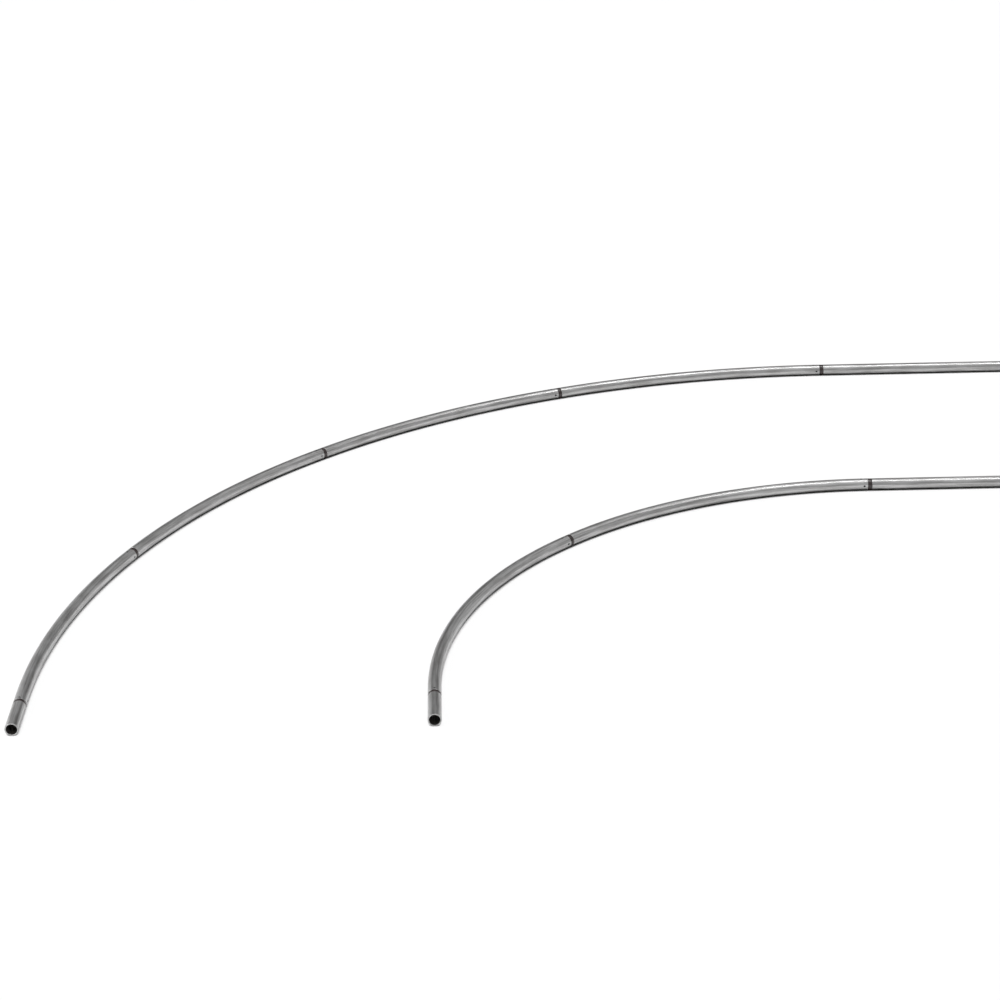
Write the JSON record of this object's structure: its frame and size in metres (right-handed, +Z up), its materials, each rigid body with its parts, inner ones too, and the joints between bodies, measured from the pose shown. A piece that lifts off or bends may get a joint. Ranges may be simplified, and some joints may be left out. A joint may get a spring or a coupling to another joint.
{
  "type": "camera dolly track",
  "caption": "Curved camera dolly track: two round steel rails in push-fit tube sections, a quarter turn between straight ends.",
  "frame": {"origin": "on the floor, at the middle of the layout's bounding box", "axes": "+X along the far straight pair, away from the curve; +Y away from the near straight ends; +Z up"},
  "size_m": [3.2828, 2.4448, 0.0334],
  "materials": {
    "rail_tube": "satin, drawn along the tube",
    "spigot": "turned",
    "joint_ring": "dark red-brown, smooth",
    "spigot_screw": "black oxide",
    "detent_ball": "polished",
    "detent_spring": "drawn wire"
  },
  "bodies": {
    "first_curves": {"outer_curved_tube_1": "rail_tube", "outer_spigot_1": "spigot", "outer_joint_ring_1": "joint_ring", "outer_spigot_screws_1": "spigot_screw", "outer_detent_spring_1": "detent_spring", "outer_spigot_2": "spigot", "outer_joint_ring_2": "joint_ring", "outer_spigot_screws_2": "spigot_screw", "outer_detent_spring_2": "detent_spring", "inner_curved_tube_1": "rail_tube", "inner_spigot_1": "spigot", "inner_joint_ring_1": "joint_ring", "inner_spigot_screws_1": "spigot_screw", "inner_detent_spring_1": "detent_spring", "inner_spigot_2": "spigot", "inner_joint_ring_2": "joint_ring", "inner_spigot_screws_2": "spigot_screw", "inner_detent_spring_2": "detent_spring"},
    "outer_curve_2": {"outer_curved_tube_2": "rail_tube", "outer_spigot_3": "spigot", "outer_joint_ring_3": "joint_ring", "outer_spigot_screws_3": "spigot_screw", "outer_detent_spring_3": "detent_spring"},
    "outer_curve_3": {"outer_curved_tube_3": "rail_tube", "outer_spigot_4": "spigot", "outer_joint_ring_4": "joint_ring", "outer_spigot_screws_4": "spigot_screw", "outer_detent_spring_4": "detent_spring"},
    "outer_curve_4": {"outer_curved_tube_4": "rail_tube", "outer_spigot_5": "spigot", "outer_joint_ring_5": "joint_ring", "outer_spigot_screws_5": "spigot_screw", "outer_detent_spring_5": "detent_spring"},
    "outer_near_straight": {"outer_near_straight_tube": "rail_tube"},
    "outer_far_straight": {"outer_far_straight_tube": "rail_tube"},
    "outer_ball_1": {"outer_detent_ball_1": "detent_ball"},
    "outer_ball_2": {"outer_detent_ball_2": "detent_ball"},
    "outer_ball_3": {"outer_detent_ball_3": "detent_ball"},
    "outer_ball_4": {"outer_detent_ball_4": "detent_ball"},
    "outer_ball_5": {"outer_detent_ball_5": "detent_ball"},
    "inner_curve_2": {"inner_curved_tube_2": "rail_tube", "inner_spigot_3": "spigot", "inner_joint_ring_3": "joint_ring", "inner_spigot_screws_3": "spigot_screw", "inner_detent_spring_3": "detent_spring"},
    "inner_near_straight": {"inner_near_straight_tube": "rail_tube"},
    "inner_far_straight": {"inner_far_straight_tube": "rail_tube"},
    "inner_ball_1": {"inner_detent_ball_1": "detent_ball"},
    "inner_ball_2": {"inner_detent_ball_2": "detent_ball"},
    "inner_ball_3": {"inner_detent_ball_3": "detent_ball"}
  },
  "joints": [
    {"name": "outer_pull_off_1", "type": "slide", "parent": "first_curves", "child": "outer_near_straight", "axis": [0, -1, 0], "range_m": [0, 0.045]},
    {"name": "outer_ball_press_1", "type": "slide", "parent": "first_curves", "child": "outer_ball_1", "axis": [0, 0, 1], "range_m": [0, 0.0006], "stiffness_N_per_m": 2000, "springref_m": -0.001, "deforming": ["outer_detent_spring_1"]},
    {"name": "outer_pull_off_2", "type": "slide", "parent": "first_curves", "child": "outer_curve_2", "axis": [0.3827, 0.9239, 0], "range_m": [0, 0.045]},
    {"name": "outer_ball_press_2", "type": "slide", "parent": "first_curves", "child": "outer_ball_2", "axis": [0, 0, 1], "range_m": [0, 0.0006], "stiffness_N_per_m": 2000, "springref_m": -0.001, "deforming": ["outer_detent_spring_2"]},
    {"name": "outer_pull_off_3", "type": "slide", "parent": "outer_curve_2", "child": "outer_curve_3", "axis": [0.7071, 0.7071, 0], "range_m": [0, 0.045]},
    {"name": "outer_ball_press_3", "type": "slide", "parent": "outer_curve_2", "child": "outer_ball_3", "axis": [0, 0, 1], "range_m": [0, 0.0006], "stiffness_N_per_m": 2000, "springref_m": -0.001, "deforming": ["outer_detent_spring_3"]},
    {"name": "outer_pull_off_4", "type": "slide", "parent": "outer_curve_3", "child": "outer_curve_4", "axis": [0.9239, 0.3827, 0], "range_m": [0, 0.045]},
    {"name": "outer_ball_press_4", "type": "slide", "parent": "outer_curve_3", "child": "outer_ball_4", "axis": [0, 0, 1], "range_m": [0, 0.0006], "stiffness_N_per_m": 2000, "springref_m": -0.001, "deforming": ["outer_detent_spring_4"]},
    {"name": "outer_pull_off_5", "type": "slide", "parent": "outer_curve_4", "child": "outer_far_straight", "axis": [1, 0, 0], "range_m": [0, 0.045]},
    {"name": "outer_ball_press_5", "type": "slide", "parent": "outer_curve_4", "child": "outer_ball_5", "axis": [0, 0, 1], "range_m": [0, 0.0006], "stiffness_N_per_m": 2000, "springref_m": -0.001, "deforming": ["outer_detent_spring_5"]},
    {"name": "inner_pull_off_1", "type": "slide", "parent": "first_curves", "child": "inner_near_straight", "axis": [0, -1, 0], "range_m": [0, 0.045]},
    {"name": "inner_ball_press_1", "type": "slide", "parent": "first_curves", "child": "inner_ball_1", "axis": [0, 0, 1], "range_m": [0, 0.0006], "stiffness_N_per_m": 2000, "springref_m": -0.001, "deforming": ["inner_detent_spring_1"]},
    {"name": "inner_pull_off_2", "type": "slide", "parent": "first_curves", "child": "inner_curve_2", "axis": [0.7071, 0.7071, 0], "range_m": [0, 0.045]},
    {"name": "inner_ball_press_2", "type": "slide", "parent": "first_curves", "child": "inner_ball_2", "axis": [0, 0, 1], "range_m": [0, 0.0006], "stiffness_N_per_m": 2000, "springref_m": -0.001, "deforming": ["inner_detent_spring_2"]},
    {"name": "inner_pull_off_3", "type": "slide", "parent": "inner_curve_2", "child": "inner_far_straight", "axis": [1, 0, 0], "range_m": [0, 0.045]},
    {"name": "inner_ball_press_3", "type": "slide", "parent": "inner_curve_2", "child": "inner_ball_3", "axis": [0, 0, 1], "range_m": [0, 0.0006], "stiffness_N_per_m": 2000, "springref_m": -0.001, "deforming": ["inner_detent_spring_3"]}
  ]
}
